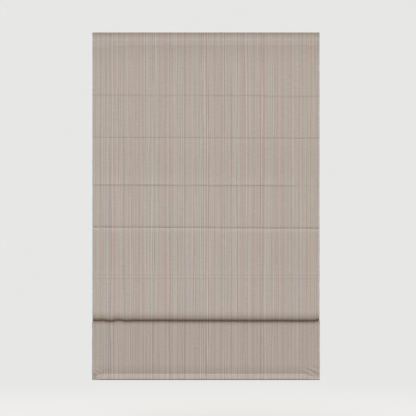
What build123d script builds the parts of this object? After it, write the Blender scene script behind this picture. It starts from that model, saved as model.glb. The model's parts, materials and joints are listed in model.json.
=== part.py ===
from build123d import *
from math import acos, asin, atan2, cos, degrees, hypot, radians, sin, sqrt
import os

os.makedirs("parts", exist_ok=True)

# Cordless flat-fold roman blind, hung inside a window opening. Lengths are in millimetres.
# +X runs along the headrail, -Y faces the room and +Z is up.
# The origin is the centre of the bracket screw holes, where the brackets meet the window head.

# Whole blind
blind_width = 914.0
blind_drop = 1400.0
cloth_thickness = 0.8
seat_clearance = 0.1
working_clearance = 0.3
bearing_clearance = 0.05
quarter_turn = 90.0
half_turn = 180.0

# Headrail, a channel open below with a slot along its top for the brackets
head_gap = 0.5
headrail_depth = 40.0
headrail_height = 46.0
headrail_wall = 1.4
headrail_corner = 1.2
top_lip = 4.0
slot_height = 3.4
bottom_lip = 6.0
cap_thickness = 3.0
cap_plug_length = 9.0
cap_plug_wall = 1.8
cloth_overhang = 2.0

# Brackets
bracket_inset = 127.0
bracket_width = 34.0
bracket_sheet = 1.5
bracket_foot = 2.6
screw_spacing = 16.0
screws_per_bracket = 2
screw_hole_radius = 2.2

# Hook and loop tapes that hold the cloth on the headrail
tape_height = 26.0
tape_thickness = 1.2
tape_end_gap = 12.0

# Cloth: stitch lines hold the rod pockets, creases are the front folds between them
cloth_top_gap = 0.5
pleat_count = 3
first_stitch_share = 0.3021
pleat_pitch_share = 0.2579
crease_rise_share = 0.4654
crease_reach = 1.6
crease_run_above = 24.0
crease_run_below = 8.0
tuck_depth = 2.2
tuck_run = 34.0
tuck_return = 90.0
stitch_depth = 1.8
stitch_run_above = 9.0
stitch_run_below = 16.0
bottom_set_back = 26.0
loop_drop = 13.0
loop_radius = 11.0
belly_radius = 50.0
loop_turn_radius = 0.6
cloth_bend_radius = 8.0
hem_height = 30.0

# Rods and their pockets
rod_radius = 2.5
pocket_tape = 0.5
pocket_flange = 8.0
tip_inset = 8.0
tip_end = 2.0
tip_grip = 9.0
pocket_gap = 1.0

# Cord guides clipped on the pockets
cord_inset = 157.0
guide_width = 8.0
guide_wall = 1.4
guide_bite = 1.0
eyelet_radius = 4.0
eyelet_hole_radius = 2.2
eyelet_height = 4.0
eyelet_overlap = 1.0

# Bottom bar in the hem
bar_height = 20.0
bar_thickness = 5.0
bar_end_gap = 14.0
bar_tip_length = 8.0
bar_tip_chamfer = 1.2
bar_set_back = 0.5

# Lift shaft, spools and their cradles
shaft_set_forward = 4.0
shaft_drop = 27.0
shaft_flats = 6.0
shaft_sides = 6
shaft_overrun = 13.2
spool_radius = 11.0
spool_length = 36.0
spool_flange_radius = 13.5
spool_flange = 1.5
journal_radius = 4.8
journal_length = 4.0
cradle_plate = 3.0
cradle_base = 3.0
cradle_corner = 2.0
cord_exit_radius = 2.2
cord_exit_boss_radius = 4.0
cord_exit_boss_height = 1.6

# Spring motor
motor_place_share = 0.5
motor_length = 62.0
motor_wall = 1.8
motor_top_gap = 1.3
cover_thickness = 2.0
output_core_radius = 5.2
output_flange_radius = 8.4
drum_flange = 1.2
storage_core_radius = 4.2
storage_flange_radius = 6.2
storage_set_back = 13.8
storage_rise = 6.0
drum_pin_radius = 1.5
spring_thickness = 0.4
spring_coil_depth = 2.2
boss_radius = 2.6
boss_inset = 2.6
screw_radius = 1.2
screw_head_radius = 2.2
screw_head_height = 1.4
screw_length = 9.0

# Heights and depths that several pieces share
rail_half_depth = headrail_depth / 2
rail_top = -head_gap
rail_bottom = rail_top - headrail_height
slot_roof = rail_top - headrail_wall
web_top = slot_roof - slot_height
web_bottom = web_top - headrail_wall
lip_top = rail_bottom + headrail_wall
cavity_half_depth = rail_half_depth - headrail_wall
mouth_half_depth = cavity_half_depth - bottom_lip
slot_mouth_half_depth = cavity_half_depth - top_lip
headrail_length = blind_width - 2 * (cloth_overhang + cap_thickness)
tape_length = headrail_length - 2 * tape_end_gap
tape_middle = (rail_top + rail_bottom) / 2
bracket_reach = blind_width / 2 - bracket_inset
insert_half_depth = cavity_half_depth - working_clearance
insert_floor = lip_top + seat_clearance
shaft_y = -shaft_set_forward
shaft_z = -shaft_drop

# Planes of the hanging cloth
loop_tape_front = -rail_half_depth - 2 * tape_thickness - seat_clearance
cloth_y = loop_tape_front - seat_clearance - cloth_thickness / 2
first_stitch_drop = first_stitch_share * blind_drop
pleat_pitch = pleat_pitch_share * blind_drop
crease_rise = crease_rise_share * pleat_pitch
stitch_drops = [first_stitch_drop + pleat_pitch * number for number in range(pleat_count)]
crease_drops = [drop - crease_rise for drop in stitch_drops]
bottom_y = cloth_y + bottom_set_back
sewn_planes = [cloth_y + stitch_depth for drop in stitch_drops[:-1]] + [bottom_y]
pocket_outer_radius = rod_radius + working_clearance + pocket_tape
rod_fall = pocket_flange + pocket_outer_radius
rod_half_length = blind_width / 2 - tip_inset - tip_end
pocket_half_length = rod_half_length - tip_grip - pocket_gap
cord_reach = blind_width / 2 - cord_inset
cord_lines = [-cord_reach, 0, cord_reach]

# Headrail
with BuildPart() as headrail:
    with BuildSketch(Plane.YZ) as rail_section:
        with Locations((0, rail_top)):
            Rectangle(headrail_depth, headrail_height, align=(Align.CENTER, Align.MAX))
        fillet(rail_section.vertices(), headrail_corner)
        with Locations((0, rail_top)):
            Rectangle(2 * slot_mouth_half_depth, headrail_wall + slot_height,
                      align=(Align.CENTER, Align.MAX), mode=Mode.SUBTRACT)
        with Locations((0, slot_roof)):
            Rectangle(2 * cavity_half_depth, slot_height,
                      align=(Align.CENTER, Align.MAX), mode=Mode.SUBTRACT)
        with Locations((0, web_bottom)):
            Rectangle(2 * cavity_half_depth, web_bottom - lip_top,
                      align=(Align.CENTER, Align.MAX), mode=Mode.SUBTRACT)
        with Locations((0, rail_bottom)):
            Rectangle(2 * mouth_half_depth, headrail_wall,
                      align=(Align.CENTER, Align.MIN), mode=Mode.SUBTRACT)
    extrude(amount=headrail_length / 2, both=True)
headrail.part.label = "headrail"
export_step(headrail.part, "parts/headrail.step")

# End caps, each a plate over the channel's end with a hollow plug inside it
plug_top = web_bottom - working_clearance
plug_bottom = lip_top + seat_clearance
plug_height = plug_top - plug_bottom
plug_middle = (plug_top + plug_bottom) / 2
for side_name, side in (("left", -1), ("right", 1)):
    cap_plane = Plane(origin=(side * headrail_length / 2, 0, 0), x_dir=(0, 1, 0), z_dir=(1, 0, 0))
    with BuildPart() as cap:
        with BuildSketch(cap_plane):
            with Locations((0, (rail_top + rail_bottom) / 2)):
                RectangleRounded(headrail_depth, headrail_height, headrail_corner)
        extrude(amount=side * cap_thickness)
        with BuildSketch(cap_plane):
            with Locations((0, plug_middle)):
                Rectangle(2 * insert_half_depth, plug_height)
                Rectangle(2 * (insert_half_depth - cap_plug_wall), plug_height - 2 * cap_plug_wall,
                          mode=Mode.SUBTRACT)
        extrude(amount=-side * cap_plug_length)
    cap.part.label = f"headrail_cap_{side_name}"
    export_step(cap.part, f"parts/headrail_cap_{side_name}.step")

# Brackets, bent sheet with feet that carry the headrail by the lips of its top slot
foot_top = slot_roof - seat_clearance
foot_bottom = foot_top - bracket_sheet
leg_outside = slot_mouth_half_depth - working_clearance
for side_name, side in (("left", -1), ("right", 1)):
    with BuildPart() as bracket:
        with BuildSketch(Plane.YZ.offset(side * bracket_reach)):
            Rectangle(2 * leg_outside, -foot_bottom, align=(Align.CENTER, Align.MAX))
            with Locations((0, -bracket_sheet)):
                Rectangle(2 * (leg_outside - bracket_sheet), -foot_bottom,
                          align=(Align.CENTER, Align.MAX), mode=Mode.SUBTRACT)
            with Locations((-leg_outside, foot_top)):
                Rectangle(bracket_foot, bracket_sheet, align=(Align.MAX, Align.MAX))
            with Locations((leg_outside, foot_top)):
                Rectangle(bracket_foot, bracket_sheet, align=(Align.MIN, Align.MAX))
        extrude(amount=bracket_width / 2, both=True)
        with BuildSketch(Plane.XY):
            with Locations((side * bracket_reach, 0)):
                with GridLocations(0, screw_spacing, 1, screws_per_bracket):
                    Circle(screw_hole_radius)
        extrude(amount=-bracket_sheet, mode=Mode.SUBTRACT)
    bracket.part.label = f"mounting_bracket_{side_name}"
    export_step(bracket.part, f"parts/mounting_bracket_{side_name}.step")

# Hook tape on the headrail's front and the loop tape sewn to the cloth
with BuildPart() as hook_tape:
    with BuildSketch(Plane.YZ):
        with Locations((-rail_half_depth, tape_middle)):
            Rectangle(tape_thickness, tape_height, align=(Align.MAX, Align.CENTER))
    extrude(amount=tape_length / 2, both=True)
hook_tape.part.label = "hook_tape"
export_step(hook_tape.part, "parts/hook_tape.step")

with BuildPart() as loop_tape:
    with BuildSketch(Plane.YZ):
        with Locations((loop_tape_front, tape_middle)):
            Rectangle(tape_thickness, tape_height, align=(Align.MIN, Align.CENTER))
    extrude(amount=tape_length / 2, both=True)
loop_tape.part.label = "loop_tape"
export_step(loop_tape.part, "parts/loop_tape.step")

# The cloth's path from the headrail to the third rod, seen from the side
rail_foot = (cloth_y, rail_bottom)
tuck = (cloth_y + tuck_depth, rail_bottom - tuck_run)
tuck_end = (cloth_y, rail_bottom - tuck_run - tuck_return)
panel_points = [(cloth_y, -cloth_top_gap), rail_foot, tuck, tuck_end]
for crease_drop, stitch_drop in zip(crease_drops, stitch_drops):
    panel_points.append((cloth_y, -crease_drop + crease_run_above))
    panel_points.append((cloth_y - crease_reach, -crease_drop))
    panel_points.append((cloth_y, -crease_drop - crease_run_below))
    if stitch_drop != stitch_drops[-1]:
        panel_points.append((cloth_y, -stitch_drop + stitch_run_above))
        panel_points.append((cloth_y + stitch_depth, -stitch_drop))
        panel_points.append((cloth_y, -stitch_drop - stitch_run_below))

# The fold that droops over the third rod: a slow arc, a tighter one, then up to the sewn line
loop_back_y = bottom_y - 2 * loop_turn_radius
loop_centre_z = -stitch_drops[-1] - loop_drop + loop_radius + cloth_thickness / 2
loop_centre = (loop_back_y - loop_radius, loop_centre_z)
belly_y = cloth_y + belly_radius
belly_rise = sqrt((belly_radius - loop_radius) ** 2 - (belly_y - loop_centre[0]) ** 2)
belly_centre = (belly_y, loop_centre[1] + belly_rise)
belly_turn = degrees(asin(belly_rise / (belly_radius - loop_radius)))
panel_points.append((cloth_y, belly_centre[1]))
loop_top = (loop_back_y, -stitch_drops[-1])
sewn_turn = (loop_back_y + loop_turn_radius, -stitch_drops[-1])

# The bottom panel and its hem around the bar
bar_y = bottom_y + bar_set_back
hem_turn = bar_thickness / 2 + working_clearance + cloth_thickness / 2
hem_stitch_z = -blind_drop + hem_height
hem_turn_z = -blind_drop + cloth_thickness / 2 + hem_turn
bar_shoulder_z = hem_turn_z + bar_height - bar_thickness
hem_front = [(bottom_y, -stitch_drops[-1]), (bottom_y, hem_stitch_z + stitch_run_below),
             (bottom_y + stitch_depth, hem_stitch_z), (bar_y - hem_turn, bar_shoulder_z),
             (bar_y - hem_turn, hem_turn_z)]
hem_back = [(bar_y + hem_turn, hem_turn_z), (bar_y + hem_turn, bar_shoulder_z),
            (bottom_y + stitch_depth + cloth_thickness + seat_clearance, hem_stitch_z)]

with BuildPart() as shade_fabric:
    with BuildSketch(Plane.YZ):
        with BuildLine():
            FilletPolyline(*panel_points, radius=cloth_bend_radius)
            CenterArc(belly_centre, belly_radius, half_turn, belly_turn)
            CenterArc(loop_centre, loop_radius, half_turn + belly_turn, half_turn - belly_turn)
            Line((loop_back_y, loop_centre[1]), loop_top)
            CenterArc(sewn_turn, loop_turn_radius, half_turn, -half_turn)
            FilletPolyline(*hem_front, radius=cloth_bend_radius)
            CenterArc((bar_y, hem_turn_z), hem_turn, half_turn, half_turn)
            FilletPolyline(*hem_back, radius=cloth_bend_radius)
            offset(amount=cloth_thickness / 2, side=Side.BOTH, mode=Mode.REPLACE)
        make_face()
    extrude(amount=blind_width / 2, both=True)
shade_fabric.part.label = "shade_fabric"
export_step(shade_fabric.part, "parts/shade_fabric.step")

# Rods in their sewn pocket tapes, with end tips and the clips that guide the lift cords
guide_inner_radius = pocket_outer_radius + seat_clearance
guide_outer_radius = guide_inner_radius + guide_wall
tip_radius = pocket_outer_radius - bearing_clearance
for number, (drop, sewn_plane) in enumerate(zip(stitch_drops, sewn_planes), start=1):
    flange_front = sewn_plane + cloth_thickness / 2 + seat_clearance
    rod_y = flange_front + pocket_outer_radius
    rod_z = -drop - rod_fall
    eyelet_y = rod_y + guide_outer_radius + eyelet_radius - eyelet_overlap
    with BuildPart() as rod:
        with BuildSketch(Plane.YZ):
            with Locations((rod_y, rod_z)):
                Circle(rod_radius)
        extrude(amount=rod_half_length, both=True)
    rod.part.label = f"rod_{number}"
    export_step(rod.part, f"parts/rod_{number}.step")

    with BuildPart() as pocket:
        with BuildSketch(Plane.YZ):
            with Locations((flange_front, rod_z)):
                Rectangle(2 * pocket_tape, rod_fall, align=(Align.MIN, Align.MIN))
            with Locations((rod_y, rod_z)):
                Circle(pocket_outer_radius)
                Circle(pocket_outer_radius - pocket_tape, mode=Mode.SUBTRACT)
        extrude(amount=pocket_half_length, both=True)
    pocket.part.label = f"rod_pocket_{number}"
    export_step(pocket.part, f"parts/rod_pocket_{number}.step")

    with BuildPart() as tips:
        for side in (-1, 1):
            rod_end = (side * rod_half_length, rod_y, rod_z)
            tip_plane = Plane(origin=rod_end, x_dir=(0, 1, 0), z_dir=(side, 0, 0))
            with BuildSketch(tip_plane.offset(tip_end)):
                Circle(tip_radius)
            extrude(amount=-tip_end - tip_grip)
            with BuildSketch(tip_plane):
                Circle(rod_radius + bearing_clearance)
            extrude(amount=-tip_grip, mode=Mode.SUBTRACT)
    tips.part.label = f"rod_tips_{number}"
    export_step(tips.part, f"parts/rod_tips_{number}.step")

    with BuildPart() as guides:
        for line_x in cord_lines:
            with BuildSketch(Plane.YZ.offset(line_x)):
                with Locations((rod_y, rod_z)):
                    Circle(guide_outer_radius)
                    Circle(guide_inner_radius, mode=Mode.SUBTRACT)
                with Locations((rod_y - guide_bite, rod_z)):
                    Rectangle(guide_outer_radius, 2 * guide_outer_radius,
                              align=(Align.MAX, Align.CENTER), mode=Mode.SUBTRACT)
            extrude(amount=guide_width / 2, both=True)
            with BuildSketch(Plane.XY.offset(rod_z)):
                with Locations((line_x, eyelet_y)):
                    Circle(eyelet_radius)
            extrude(amount=eyelet_height / 2, both=True)
            with BuildSketch(Plane.XY.offset(rod_z)):
                with Locations((line_x, eyelet_y)):
                    Circle(eyelet_hole_radius)
            extrude(amount=eyelet_height / 2, both=True, mode=Mode.SUBTRACT)
    guides.part.label = f"cord_guides_{number}"
    export_step(guides.part, f"parts/cord_guides_{number}.step")

# Bottom bar in the hem, with a moulded tip on each end
bar_half_length = blind_width / 2 - bar_end_gap - bar_tip_length
bar_middle_z = (hem_turn_z + bar_shoulder_z) / 2
with BuildPart() as bottom_bar:
    with BuildSketch(Plane.YZ):
        with Locations((bar_y, bar_middle_z)):
            SlotOverall(bar_height, bar_thickness, rotation=quarter_turn)
    extrude(amount=bar_half_length, both=True)
bottom_bar.part.label = "bottom_bar"
export_step(bottom_bar.part, "parts/bottom_bar.step")

for side_name, side in (("left", -1), ("right", 1)):
    with BuildPart() as bar_tip:
        with BuildSketch(Plane.YZ.offset(side * bar_half_length)):
            with Locations((bar_y, bar_middle_z)):
                SlotOverall(bar_height, bar_thickness, rotation=quarter_turn)
        extrude(amount=side * bar_tip_length)
        outer_face = bar_tip.faces().sort_by(Axis.X)[-1 if side > 0 else 0]
        chamfer(outer_face.edges(), bar_tip_chamfer)
    bar_tip.part.label = f"bar_tip_{side_name}"
    export_step(bar_tip.part, f"parts/bar_tip_{side_name}.step")

# Lift shaft, a hexagonal rod through every spool and the spring motor
spool_half_length = spool_length / 2 + spool_flange
cradle_inside_half = spool_half_length + working_clearance
cradle_half_length = cradle_inside_half + cradle_plate
shaft_end_reach = cord_reach + cradle_half_length + shaft_overrun
with BuildPart() as lift_shaft:
    with BuildSketch(Plane.YZ):
        with Locations((shaft_y, shaft_z)):
            RegularPolygon(shaft_flats / 2, side_count=shaft_sides, major_radius=False)
    extrude(amount=shaft_end_reach, both=True)
lift_shaft.part.label = "lift_shaft"
export_step(lift_shaft.part, "parts/lift_shaft.step")

# Spools turn in cradles that sit on the headrail's lower lips, each with a lined cord exit
hub_flats = shaft_flats + 2 * bearing_clearance
bore_radius = journal_radius + bearing_clearance
cord_exit_y = shaft_y + spool_radius
cradle_top = shaft_z + spool_flange_radius
for place_name, place_x in zip(("left", "centre", "right"), cord_lines):
    spool_plane = Plane(origin=(place_x, shaft_y, shaft_z), x_dir=(0, 1, 0), z_dir=(1, 0, 0))
    with BuildPart() as spool:
        with BuildSketch(spool_plane):
            Circle(spool_radius)
        extrude(amount=spool_length / 2, both=True)
        for end in (-1, 1):
            with BuildSketch(spool_plane.offset(end * spool_length / 2)):
                Circle(spool_flange_radius)
            extrude(amount=end * spool_flange)
            with BuildSketch(spool_plane.offset(end * spool_half_length)):
                Circle(journal_radius)
            extrude(amount=end * journal_length)
        with BuildSketch(spool_plane):
            RegularPolygon(hub_flats / 2, side_count=shaft_sides, major_radius=False)
        extrude(amount=spool_half_length + journal_length, both=True, mode=Mode.SUBTRACT)
    spool.part.label = f"cord_spool_{place_name}"
    export_step(spool.part, f"parts/cord_spool_{place_name}.step")

    with BuildPart() as cradle:
        with BuildSketch(Plane.YZ.offset(place_x)):
            with Locations((0, insert_floor)):
                Rectangle(2 * insert_half_depth, cradle_top - insert_floor,
                          align=(Align.CENTER, Align.MIN))
        extrude(amount=cradle_half_length, both=True)
        fillet(cradle.edges().filter_by(Axis.X).group_by(Axis.Z)[-1], cradle_corner)
        with BuildSketch(Plane.YZ.offset(place_x)):
            with Locations((0, insert_floor + cradle_base)):
                Rectangle(headrail_depth, headrail_height, align=(Align.CENTER, Align.MIN))
        extrude(amount=cradle_inside_half, both=True, mode=Mode.SUBTRACT)
        with BuildSketch(spool_plane):
            Circle(bore_radius)
        extrude(amount=cradle_half_length, both=True, mode=Mode.SUBTRACT)
        with BuildSketch(Plane.XY.offset(insert_floor + cradle_base)):
            with Locations((place_x, cord_exit_y)):
                Circle(cord_exit_boss_radius)
        extrude(amount=-cradle_base - cord_exit_boss_height)
        with BuildSketch(Plane.XY.offset(insert_floor + cradle_base)):
            with Locations((place_x, cord_exit_y)):
                Circle(cord_exit_radius)
        extrude(amount=-cradle_base - cord_exit_boss_height, mode=Mode.SUBTRACT)
    cradle.part.label = f"spool_cradle_{place_name}"
    export_step(cradle.part, f"parts/spool_cradle_{place_name}.step")

# Spring motor: a box with a screwed cover, two drums and the steel ribbon between them
motor_offset = motor_place_share * cord_reach
motor_x = -motor_offset
motor_left = motor_x - motor_length / 2
motor_right = motor_x + motor_length / 2
motor_top = web_bottom - motor_top_gap
motor_height = motor_top - insert_floor
motor_middle = (motor_top + insert_floor) / 2
drum_room = motor_length - motor_wall - cover_thickness
drum_left = motor_left + motor_wall + working_clearance
drum_right = motor_right - cover_thickness - working_clearance
ribbon_left = drum_left + drum_flange + working_clearance
ribbon_right = drum_right - drum_flange - working_clearance
storage_y = shaft_y + storage_set_back
storage_z = shaft_z + storage_rise
boss_y = insert_half_depth - motor_wall - boss_inset
boss_z = insert_floor + motor_wall + boss_inset
boss_places = [(-boss_y, boss_z), (boss_y, boss_z)]
output_journal = motor_wall + working_clearance
pin_left = motor_left + motor_wall / 2
pin_right = motor_right - cover_thickness / 2

with BuildPart() as spring_housing:
    with BuildSketch(Plane.YZ.offset(motor_left)):
        with Locations((0, motor_middle)):
            RectangleRounded(2 * insert_half_depth, motor_height, cradle_corner)
    extrude(amount=motor_length - cover_thickness)
    with BuildSketch(Plane.YZ.offset(motor_left + motor_wall)):
        with Locations((0, motor_middle)):
            Rectangle(2 * (insert_half_depth - motor_wall), motor_height - 2 * motor_wall)
    extrude(amount=drum_room, mode=Mode.SUBTRACT)
    with BuildSketch(Plane.YZ.offset(motor_left + motor_wall)):
        with Locations(*boss_places):
            Rectangle(2 * boss_radius, 2 * boss_radius)
    extrude(amount=drum_room)
    with BuildSketch(Plane.YZ.offset(motor_left)):
        with Locations((shaft_y, shaft_z)):
            Circle(bore_radius)
    extrude(amount=motor_wall, mode=Mode.SUBTRACT)
    with BuildSketch(Plane.YZ.offset(pin_left)):
        with Locations((storage_y, storage_z)):
            Circle(drum_pin_radius + bearing_clearance)
    extrude(amount=motor_wall, mode=Mode.SUBTRACT)
    with BuildSketch(Plane.YZ.offset(motor_right - cover_thickness)):
        with Locations(*boss_places):
            Circle(screw_radius + bearing_clearance)
    extrude(amount=-screw_length, mode=Mode.SUBTRACT)
spring_housing.part.label = "spring_housing"
export_step(spring_housing.part, "parts/spring_housing.step")

with BuildPart() as spring_cover:
    with BuildSketch(Plane.YZ.offset(motor_right)):
        with Locations((0, motor_middle)):
            RectangleRounded(2 * insert_half_depth, motor_height, cradle_corner)
        with Locations((shaft_y, shaft_z)):
            Circle(bore_radius, mode=Mode.SUBTRACT)
        with Locations(*boss_places):
            Circle(screw_radius + working_clearance, mode=Mode.SUBTRACT)
    extrude(amount=-cover_thickness)
    with BuildSketch(Plane.YZ.offset(pin_right)):
        with Locations((storage_y, storage_z)):
            Circle(drum_pin_radius + bearing_clearance)
    extrude(amount=-cover_thickness, mode=Mode.SUBTRACT)
spring_cover.part.label = "spring_cover"
export_step(spring_cover.part, "parts/spring_cover.step")

with BuildPart() as cover_screws:
    with BuildSketch(Plane.YZ.offset(motor_right)):
        with Locations(*boss_places):
            Circle(screw_head_radius)
    extrude(amount=screw_head_height)
    with BuildSketch(Plane.YZ.offset(motor_right)):
        with Locations(*boss_places):
            Circle(screw_radius)
    extrude(amount=-screw_length)
cover_screws.part.label = "cover_screws"
export_step(cover_screws.part, "parts/cover_screws.step")

with BuildPart() as drum_pin:
    with BuildSketch(Plane.YZ.offset(pin_left)):
        with Locations((storage_y, storage_z)):
            Circle(drum_pin_radius)
    extrude(amount=pin_right - pin_left)
drum_pin.part.label = "drum_pin"
export_step(drum_pin.part, "parts/drum_pin.step")

with BuildPart() as output_drum:
    with BuildSketch(Plane.YZ.offset(drum_left)):
        with Locations((shaft_y, shaft_z)):
            Circle(output_core_radius)
    extrude(amount=drum_right - drum_left)
    for flange_start in (drum_left, drum_right - drum_flange):
        with BuildSketch(Plane.YZ.offset(flange_start)):
            with Locations((shaft_y, shaft_z)):
                Circle(output_flange_radius)
        extrude(amount=drum_flange)
    with BuildSketch(Plane.YZ.offset(drum_left - output_journal)):
        with Locations((shaft_y, shaft_z)):
            Circle(journal_radius)
    extrude(amount=drum_right - drum_left + 2 * output_journal)
    with BuildSketch(Plane.YZ.offset(motor_left)):
        with Locations((shaft_y, shaft_z)):
            RegularPolygon(hub_flats / 2, side_count=shaft_sides, major_radius=False)
    extrude(amount=motor_length, mode=Mode.SUBTRACT)
output_drum.part.label = "output_drum"
export_step(output_drum.part, "parts/output_drum.step")

with BuildPart() as storage_drum:
    with BuildSketch(Plane.YZ.offset(drum_left)):
        with Locations((storage_y, storage_z)):
            Circle(storage_core_radius)
    extrude(amount=drum_right - drum_left)
    for flange_start in (drum_left, drum_right - drum_flange):
        with BuildSketch(Plane.YZ.offset(flange_start)):
            with Locations((storage_y, storage_z)):
                Circle(storage_flange_radius)
        extrude(amount=drum_flange)
    with BuildSketch(Plane.YZ.offset(drum_left)):
        with Locations((storage_y, storage_z)):
            Circle(drum_pin_radius + bearing_clearance)
    extrude(amount=drum_right - drum_left, mode=Mode.SUBTRACT)
storage_drum.part.label = "storage_drum"
export_step(storage_drum.part, "parts/storage_drum.step")

# The ribbon leaves the coil on the output drum and crosses over to the storage drum
coil_inner_radius = output_core_radius + seat_clearance
coil_outer_radius = coil_inner_radius + spring_coil_depth
turn_inner_radius = storage_core_radius + seat_clearance
turn_outer_radius = turn_inner_radius + spring_thickness
coil_mid_radius = coil_outer_radius - spring_thickness / 2
turn_mid_radius = turn_outer_radius - spring_thickness / 2
drum_distance = hypot(storage_set_back, storage_rise)
drum_bearing = degrees(atan2(storage_rise, storage_set_back))
cross_angle = degrees(acos((coil_mid_radius + turn_mid_radius) / drum_distance))
leave_angle = radians(drum_bearing + cross_angle)
ribbon_start = (shaft_y + coil_mid_radius * cos(leave_angle),
                shaft_z + coil_mid_radius * sin(leave_angle))
ribbon_end = (storage_y - turn_mid_radius * cos(leave_angle),
              storage_z - turn_mid_radius * sin(leave_angle))
with BuildPart() as power_spring:
    with BuildSketch(Plane.YZ.offset(ribbon_left)):
        with BuildLine():
            Line(ribbon_start, ribbon_end)
        trace(line_width=spring_thickness)
        with Locations((shaft_y, shaft_z)):
            Circle(coil_outer_radius)
            Circle(coil_inner_radius, mode=Mode.SUBTRACT)
        with Locations((storage_y, storage_z)):
            Circle(turn_outer_radius)
            Circle(turn_inner_radius, mode=Mode.SUBTRACT)
    extrude(amount=ribbon_right - ribbon_left)
power_spring.part.label = "power_spring"
export_step(power_spring.part, "parts/power_spring.step")
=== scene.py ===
# %% [markdown]
# A cordless roman blind hangs fully lowered, seen square on. The solids come in as a fixed frame, and
# this script dresses them: the cloth, its tapes and its stitches are made new, and every moulded or metal
# piece gets a finish. Lengths are in metres, +X runs along the headrail, -Y faces the room and +Z is up.

# %% Load the frame
import bpy
import bmesh
import json
from functools import lru_cache
from math import cos, exp, hypot, pi, radians, sin
from mathutils import Matrix, Vector, noise


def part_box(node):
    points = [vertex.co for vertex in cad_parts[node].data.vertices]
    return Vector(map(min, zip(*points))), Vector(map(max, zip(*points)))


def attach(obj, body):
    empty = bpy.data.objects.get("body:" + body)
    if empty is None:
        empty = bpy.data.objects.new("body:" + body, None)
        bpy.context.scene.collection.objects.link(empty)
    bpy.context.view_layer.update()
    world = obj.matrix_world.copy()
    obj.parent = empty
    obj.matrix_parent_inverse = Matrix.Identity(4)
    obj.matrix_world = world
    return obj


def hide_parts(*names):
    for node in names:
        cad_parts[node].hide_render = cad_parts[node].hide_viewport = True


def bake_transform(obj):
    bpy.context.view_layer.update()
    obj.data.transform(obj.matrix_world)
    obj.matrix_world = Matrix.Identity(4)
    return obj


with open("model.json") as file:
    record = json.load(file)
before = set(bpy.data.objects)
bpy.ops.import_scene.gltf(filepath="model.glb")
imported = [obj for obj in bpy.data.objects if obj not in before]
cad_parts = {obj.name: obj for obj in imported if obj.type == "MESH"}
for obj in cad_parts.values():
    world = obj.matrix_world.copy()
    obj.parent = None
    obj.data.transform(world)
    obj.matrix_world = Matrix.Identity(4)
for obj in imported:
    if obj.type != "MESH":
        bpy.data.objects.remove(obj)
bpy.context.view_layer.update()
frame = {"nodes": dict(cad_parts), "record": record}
nodes = frame["nodes"]

# %% [markdown]
# The cloth could be placed by plain numbers, but here it is placed by the solids that carry it, so it stays
# right if they change. Each stitch line lies a little below the top of a rod pocket, the loop tape gives the
# plane of the hanging cloth, and the lowest pocket gives the plane of the bottom panel, which hangs further
# back.

# %% Lines and planes of the cloth
MM = 0.001
cloth_thickness = 0.8 * MM
seat_gap = 0.1 * MM
half_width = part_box("shade_fabric")[1].x
cloth_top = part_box("shade_fabric")[1].z
cloth_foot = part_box("shade_fabric")[0].z
rail_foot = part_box("headrail")[0].z
flange_z = [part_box(f"rod_pocket_{number}")[1].z for number in (1, 2, 3)]
stitch_drop = (2.4 * MM, 3.6 * MM, 2.5 * MM)
stitch_z = [top - drop for top, drop in zip(flange_z, stitch_drop)]
crease_rise = (172.5 * MM, 171 * MM, 170 * MM)
crease_z = [top + rise for top, rise in zip(flange_z, crease_rise)]
front_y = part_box("loop_tape")[0].y - seat_gap - cloth_thickness / 2
back_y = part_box("rod_pocket_3")[0].y - seat_gap - cloth_thickness / 2
print("stitch lines", [round(z, 4) for z in stitch_z], "creases", [round(z, 4) for z in crease_z])
print("cloth plane", round(front_y, 4), "bottom plane", round(back_y, 4))

# %% [markdown]
# A few small helpers serve every shape below. One keeps a share between 0 and 1, one makes such a share a
# soft step that starts and ends level, and one goes part of the way between two values. The last is a smooth
# wave that looks random but is the same on each run. Each use has its own layer, so no two waves agree.

# %% Helpers for shapes
def share_of(value):
    return min(1.0, max(0.0, value))


def soft_step(value):
    share = share_of(value)
    return share * share * (3 - 2 * share)


def between(start, end, share):
    return start + (end - start) * share


def drift(layer, across, down=0.0):
    return noise.noise(Vector((across, layer, down)))


# %% [markdown]
# Real cloth is never quite flat. A slow wave gives it a gentle undulation, and where sewing gathers it, at
# rod ends and corners, short ripples fade out over a few centimetres. A cloth simulation makes such ripples
# too, but not in chosen places, so here each is a small wave inside a soft round patch. The same functions
# serve every panel, so panels agree where they meet.

# %% Undulation and puckers
slack = 0.45 * MM
slow_across, slow_down, slow_layer = 5.0, 3.2, 3.7
quick_across, quick_down, quick_layer = 17.0, 9.0, 9.1
quick_share = 0.35
patch_limit = 3
# Each pucker, in millimetres: centre x and z, reach in x and z, height and wave length. The wave's
# direction comes last, in degrees.
puckers = [
    (444, -24, 16, 24, 0.90, 13, 10),
    (-392, -56, 46, 12, 0.35, 26, 80),
    (395, -437, 46, 12, 0.36, 10, 90),
    (-265, -436, 42, 10, 0.24, 10, 90),
    (-440, -792, 20, 14, 0.55, 13, 70),
    (440, -792, 18, 14, 0.50, 13, 110),
    (250, -616, 60, 10, 0.18, 12, 90),
    (442, -1182, 16, 26, 0.60, 13, 60),
    (-448, -1178, 10, 16, 0.45, 11, 100),
    (-438, -1364, 16, 16, 1.30, 14, 50),
    (-446, -1380, 14, 11, 1.50, 11, 28),
    (426, -1363, 30, 15, 1.50, 20, 72),
    (435, -1384, 8, 9, 1.40, 14, 60),
]


def pucker_depth(x, z):
    depth = 0.0
    for centre_x, centre_z, reach_x, reach_z, height, length, turn in puckers:
        across, down = x / MM - centre_x, z / MM - centre_z
        if abs(across) < patch_limit * reach_x and abs(down) < patch_limit * reach_z:
            fade = exp(-((across / reach_x) ** 2) - (down / reach_z) ** 2)
            along = across * cos(radians(turn)) + down * sin(radians(turn))
            depth += height * MM * fade * cos(2 * pi * along / length)
    return depth


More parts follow.
